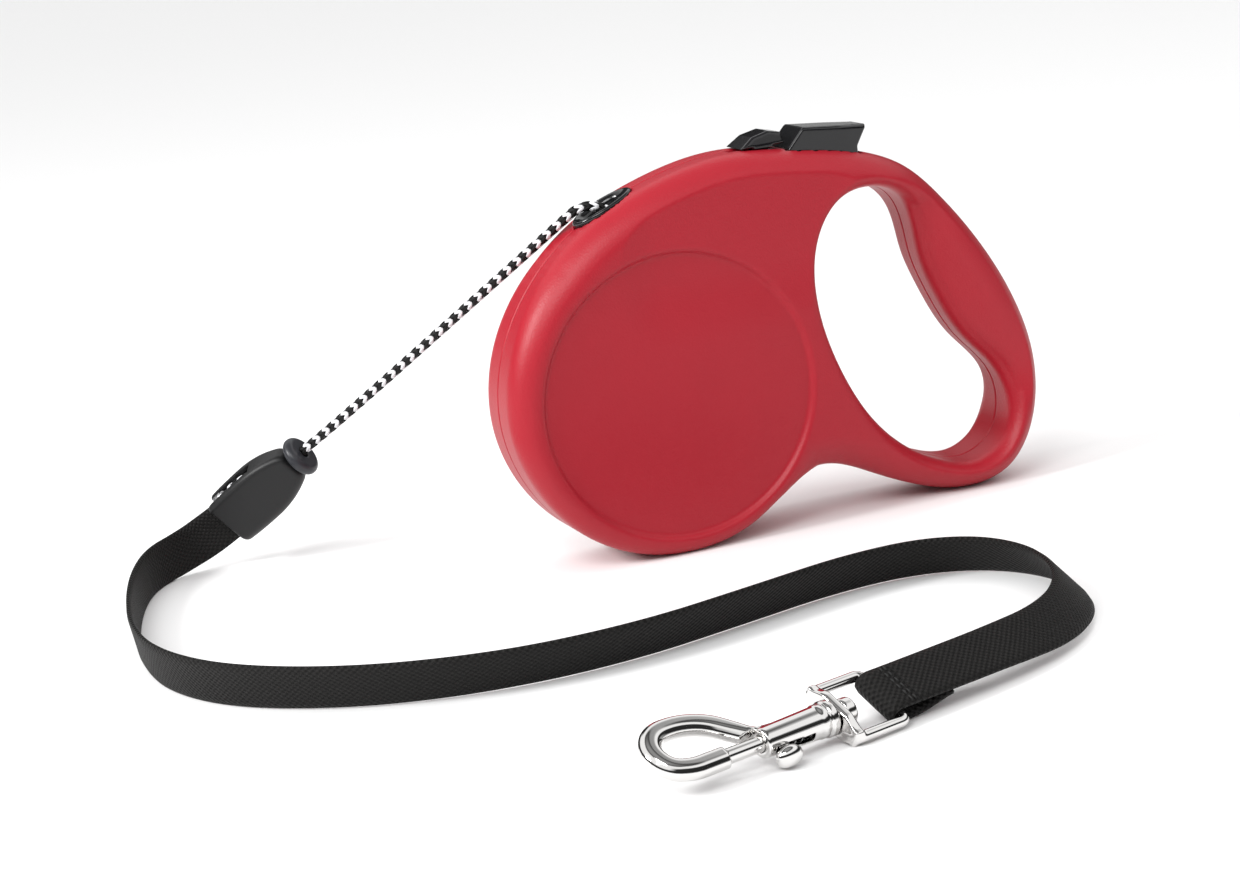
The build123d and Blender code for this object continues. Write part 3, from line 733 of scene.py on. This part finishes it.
def stitch_rows():
    """Short thread stitches across the strap, in rows, just proud of its outer face."""
    points, faces = [], []
    around, rings = 6, 5

    def stitch(centre, along_dir, out_dir):
        lift = np.sin(np.linspace(0, math.pi, rings))
        reach = np.linspace(-0.75, 0.75, rings)
        line = (np.array(centre)[None] + reach[:, None] * np.array(along_dir)
                + (lift * 0.22 - 0.12)[:, None] * np.array(out_dir))
        side = np.tile(np.cross(along_dir, out_dir), (rings, 1))
        up = np.tile(np.array(out_dir), (rings, 1))
        faces.extend(tube_faces(rings, around, sum(len(p) for p in points)))
        points.append(section_tube(line, side, up, 0.26, 0.2, around))

    for s in (-4.6, -3.4):
        for n in np.linspace(-5.4, 5.4, 6):
            stitch(ring_place(s, n, -LAYER_MID - STRAP_T / 2), N_DIR, -T_DIR)
    return add_piece("strap_stitches", np.concatenate(points), faces, "housing",
                         "thread_black", thread, ["strap_stitching"])


stitches = stitch_rows()


# ---- ring, hook and bolt ------------------------------------------------------------------------
HOOK_PLACE = axes_at(BAR_AT, N_DIR, T_DIR, S_DIR)      # local x = n, y = t, z = s


def rounded_line(corners, rounds=3):
    """An open 2-D line with its corners cut smooth, its ends kept."""
    line = np.array(corners, float)
    for _ in range(rounds):
        a, b = line[:-1], line[1:]
        cut = np.stack([a * 0.75 + b * 0.25, a * 0.25 + b * 0.75], 1).reshape(-1, 2)
        line = np.concatenate([line[:1], cut[1:-1], line[-1:]])
    return line


def line_gap(n, s, line):
    spots = np.stack([np.ravel(n), np.ravel(s)], 1)
    return segment_distance(spots, line).reshape(np.shape(n))


RING_LINE = rounded_line([(5.0, RING_L), (8.0, RING_L), (RING_HALF_W, RING_L - 0.6),
                          (RING_HALF_W, 12), (RING_HALF_W, 3.4), (RING_HALF_W, 0), (5.2, 0),
                          (-5.2, 0), (-RING_HALF_W, 0), (-RING_HALF_W, 3.4), (-RING_HALF_W, 12),
                          (-RING_HALF_W, RING_L - 0.6), (-8.0, RING_L), (-5.0, RING_L)])


def plate_box(n, t, s, half_n, half_t, half_s, r):
    q = [np.abs(n) - half_n + r, np.abs(t) - half_t + r, np.abs(s) - half_s + r]
    out = np.sqrt(sum(np.maximum(a, 0) ** 2 for a in q))
    return out + np.minimum(np.maximum(np.maximum(q[0], q[1]), q[2]), 0) - r


def ring_field(n, t, s):
    bar = np.hypot(line_gap(n, s, RING_LINE), t) - BAR_R
    tall = 3.7 - 1.5 * ramp((np.abs(n) - 3.5) / 5)
    plate = plate_box(n, t * 3.7 / tall, s - RING_L, 9.2, 3.7, PLATE_T / 2, 0.7)
    form = smooth_min(bar, plate, 0.8)
    return np.maximum(form, 2.05 - np.hypot(n, t))


ring = implicit("swivel_loop", ring_field, (-11, -5, -2.2), (11, 5, 17.4), 0.3, HOOK_PLACE,
                body="ring", slot="hook_chrome", material=chrome, replaces=["swivel_ring"])


def rivet_field(n, t, s):
    r = np.hypot(n, t)
    head_end = RING_L - PLATE_T / 2 - 0.15
    head = smooth_max(r - 3.4, np.abs(s - head_end + 1.6) - 1.6, 0.7)
    pin = np.maximum(r - PIN_R, np.abs(s - (HOOK_S + head_end) / 2) - (HOOK_S - head_end) / 2 - 0.2)
    return np.minimum(head, pin)


rivet = implicit("swivel_pin", rivet_field, (-4, -4, 9.5), (4, 4, 17.6), 0.27, HOOK_PLACE,
                 body="hook", slot="hook_chrome", material=chrome, replaces=["swivel_rivet"])

JAW_LINE = rounded_line([(1.2, 17.0), (2.2, 20.6), (6.4, 24.4), (11.0, 29.0), (13.4, 35.5),
                         (13.2, 42.6), (8.4, 46.6), (2.2, 45.6), (0.0, 40.6), (0.0, 35.6),
                         (0.0, 31.7)], 4)
JAW_LINE[:, 1] += HOOK_S


def jaw_field(n, t, s):
    """The flattened, chamfered jaw round the eye."""
    gap = line_gap(n, s, JAW_LINE)
    tip = HOOK_S + JAW_TIP - s
    neck = ramp((s - HOOK_S - 17) / 10)
    half = 2.0 + 0.8 * neck
    across, through = gap - half, np.abs(t) - 2.35
    bevel = (across + through + 1.45) * BEVEL
    form = smooth_max(smooth_max(across, through, 0.4), bevel, 0.5)
    by_tip = (np.abs(n) < 3.0) & (s < HOOK_S + 38)
    return smooth_max(form, np.where(by_tip, tip, FAR_INSIDE), 0.2)


def hook_field(n, t, s):
    r = np.hypot(n, t)
    at = s - HOOK_S
    radius = 4.0 - 0.45 * np.clip((at - 3) / 18, 0, 1)
    barrel = smooth_max(r - radius, np.abs(at - 11) - 10, 0.8)
    collar = smooth_max(r - 4.45, np.abs(at - 1.1) - 1.1, 0.6)
    second = smooth_max(r - 4.15, np.abs(at - 3.6) - 0.9, 0.6)
    form = smooth_min(smooth_min(barrel, np.minimum(collar, second), 0.25), jaw_field(n, t, s), 1.4)
    bore = np.maximum(r - PIN_R, np.maximum(3.0 - at, at - JAW_TIP))
    slot = np.maximum(np.maximum(np.abs(t) - 1.15, n + 0.2), np.abs(at - 13.0) - 5.7)
    return np.maximum(form, -np.minimum(bore, slot))


hook = implicit("hook_casting", hook_field, (-6, -5, HOOK_S - 0.8), (17, 5, HOOK_S + 50), 0.3,
                HOOK_PLACE, body="hook", slot="hook_chrome", material=chrome,
                replaces=["hook_body"])


def bolt_field(n, t, s):
    r, at = np.hypot(n, t), s - HOOK_S
    shaft = smooth_max(r - 1.9, np.abs(at - 22.4) - 9.0, 0.3)
    stem = np.maximum(np.maximum(np.abs(t) - 0.95, np.abs(at - 17.2) - 1.1), np.abs(n + 3.6) - 1.9)
    knob = (np.sqrt(((at - 17.2) / 3.6) ** 2 + (t / 2.9) ** 2 + ((n + 6.2) / 2.3) ** 2) - 1) * 2.3
    form = smooth_min(np.minimum(shaft, stem), knob, 0.5)
    return np.maximum(form, -np.maximum(r - 1.62, at - 21.6))


bolt = implicit("bolt_and_knob", bolt_field, (-9, -3.5, HOOK_S + 12.6), (3, 3.5, HOOK_S + 32.2),
                0.2, HOOK_PLACE, body="bolt", slot="hook_chrome", material=chrome,
                replaces=["hook_bolt"])


# ---- outlet and buttons -------------------------------------------------------------------------
def outlet_field(u, y, w):
    outer = (np.sqrt((u / 9.9) ** 2 + (y / 6.4) ** 2) - 1) * 6.4
    inner = (np.sqrt((u / 6.0) ** 2 + (y / 3.5) ** 2) - 1) * 3.5
    return smooth_max(smooth_max(outer, np.maximum(w - 1.0, -w - 4.9), 1.0), -inner, 2.6)


implicit("outlet_ring", outlet_field, (-10.6, -7, -5.5), (10.6, 7, 1.6), 0.3,
         axes_at(Vector(OUTLET), Vector(OUTLET_ALONG), Vector((0, 1, 0)) * -1,
                 Vector(OUTLET_OUT)), body="housing", slot="outlet_black",
         material=gloss_black, replaces=["cord_outlet"])


def profile_gap(x, z, profile):
    """Signed distance from a side profile of straight edges."""
    spots = np.stack([np.ravel(x), np.ravel(z)], 1)
    loop = np.array(profile, float)
    gap = segment_distance(spots, np.concatenate([loop, loop[:1]]))
    gap[inside_loop(spots, loop)] *= -1
    return gap.reshape(np.shape(x))


BRAKE_SIDE = [(11.0, 98.6), (11.0, 110.2), (16.2, 115.7), (36.6, 113.5), (36.3, 112.3),
              (33.2, 107.6), (33.2, 103.0), (16, 103.0), (16, 98.6)]
LOCK_SIDE = [(-3.4, 112.1), (0.9, 115.1), (6.0, 116.2), (9.9, 115.3), (10.25, 112.1),
             (6.8, 112.0), (6.8, 107.0), (0.4, 107.0), (0.4, 112.0)]


def button_field(profile, half_y, bevel, crown, narrow):
    def field(x, y, z):
        side = profile_gap(x, z, profile)
        flank = np.abs(y) - half_y + narrow * ramp((x - 27) / 10) * (z > 105)
        form = smooth_max(side, flank, 0.5)
        slope = (flank + (z - crown + 0.12 * (x - 15)) + bevel) * BEVEL
        return smooth_max(form, slope, 0.4)
    return field


implicit("brake_cap", button_field(BRAKE_SIDE, 7.0, 0.6, 116.0, 1.6), (10, -8, 98),
         (38, 8, 117), 0.36, body="brake", slot="button_black", material=gloss_black,
         replaces=["brake_button"])


def lock_field(x, y, z):
    side = profile_gap(x, z, LOCK_SIDE)
    flank = np.abs(y) - np.where(z > 111.7, 6.0 - 0.35 * np.clip(z - 112.5, 0, 4), 2.2)
    return smooth_max(side, flank, 0.8)


implicit("lock_cap", lock_field, (-4.5, -7, 106), (11.5, 7, 117.4), 0.33, body="lock",
         slot="button_black", material=gloss_black, replaces=["lock_slider"])


# ---- CAD nodes that stay ------------------------------------------------------------------------
spool_grey = make_material("spool_plastic", (0.09, 0.09, 0.095), 0.5,
                           bumps=[(2500, 2, 0.25, 0.04)], blotch=0.08)
KEPT = {steel: ("housing_screws", "spool_axle", "power_spring", "brake_spring", "bolt_spring",
                "connector_pin"),
        spool_grey: ("thrust_washers", "ratchet_flange", "spool_drum", "spring_cover",
                     "brake_slider", "lock_retainer"),
        yarn_black: ("wound_cord",)}
for material, names in KEPT.items():
    for name in names:
        for slot_of in frame["nodes"][name].material_slots:
            slot_of.material = material


# ---- light, floor and camera --------------------------------------------------------------------
def add_floor():
    mesh = bpy.data.meshes.new("floor")
    far = 9.0
    mesh.from_pydata([(-far, -far, 0), (far, -far, 0), (far, far, 0), (-far, far, 0)], [],
                     [(0, 1, 2, 3)])
    floor = bpy.data.objects.new("floor", mesh)
    bpy.context.scene.collection.objects.link(floor)
    mesh.materials.append(make_material("floor_white", (0.86, 0.86, 0.86), 0.9))


def add_light(name, at, towards, size, power):
    data = bpy.data.lights.new(name, "AREA")
    data.shape = "RECTANGLE"
    data.size, data.size_y = size
    data.energy = power
    light = bpy.data.objects.new(name, data)
    light.location = at
    aim = (Vector(towards) - Vector(at)).to_track_quat("-Z", "Y")
    light.rotation_euler = aim.to_euler()
    light.visible_camera = False
    bpy.context.scene.collection.objects.link(light)


def tone_ramp(nodes, stops):
    """A colour ramp of greys at the given places."""
    tone = nodes.new("ShaderNodeValToRGB")
    places = tone.color_ramp.elements
    for _ in stops[2:]:
        places.new(0.5)
    for place, (at, grey) in zip(places, stops):
        place.position = at
        place.color = (grey, grey, grey, 1)
    return tone


def add_world():
    """White to the eye; as light dark near the horizon; in gloss, dark with one bright band."""
    world = bpy.data.worlds.new("studio")
    bpy.context.scene.world = world
    world.use_nodes = True
    nodes, links = world.node_tree.nodes, world.node_tree.links
    place = nodes.new("ShaderNodeTexCoord")
    split = nodes.new("ShaderNodeSeparateXYZ")
    rays = nodes.new("ShaderNodeLightPath")
    light = tone_ramp(nodes, [(0.16, 0.05), (0.55, 1.0)])
    gloss = tone_ramp(nodes, [(0.06, 0.35), (0.12, 0.02), (0.4, 0.03), (0.5, 1.0), (0.76, 1.0),
                              (0.84, 0.05), (0.97, 0.3)])
    links.new(place.outputs["Generated"], split.inputs["Vector"])
    links.new(split.outputs["Z"], light.inputs["Fac"])
    links.new(split.outputs["Z"], gloss.inputs["Fac"])
    shown = light.outputs["Color"]
    for ray, colour in (("Is Glossy Ray", gloss.outputs["Color"]), ("Is Camera Ray", None)):
        mix = nodes.new("ShaderNodeMix")
        mix.data_type = "RGBA"
        links.new(rays.outputs[ray], mix.inputs["Factor"])
        links.new(shown, mix.inputs["A"])
        if colour:
            links.new(colour, mix.inputs["B"])
        else:
            mix.inputs["B"].default_value = (0.9, 0.9, 0.9, 1)
        shown = mix.outputs["Result"]
    links.new(shown, nodes["Background"].inputs["Color"])
    nodes["Background"].inputs["Strength"].default_value = 1.2


def add_camera():
    data = bpy.data.cameras.new("camera")
    data.lens, data.sensor_width, data.sensor_fit = 85, 36, "HORIZONTAL"
    data.clip_start = 0.01
    camera = bpy.data.objects.new("camera", data)
    right = Vector((0.9281788, -0.35258574, -0.11902696))
    up = Vector((0.18965531, 0.17299519, 0.96649031))
    camera.matrix_world = axes_at(Vector((-0.32034, -0.78025, 0.22605)), right, up, CAMERA_BACK)
    bpy.context.scene.collection.objects.link(camera)
    bpy.context.scene.camera = camera


add_floor()
add_world()
add_light("key", (-0.7, -0.75, 1.05), (0, 0, 0.05), (0.6, 0.5), 6.5)
add_light("side", (-1.1, -0.1, 0.75), (-0.05, 0, 0.06), (0.35, 0.35), 11)
add_camera()
bpy.context.scene.view_settings.view_transform = "Standard"
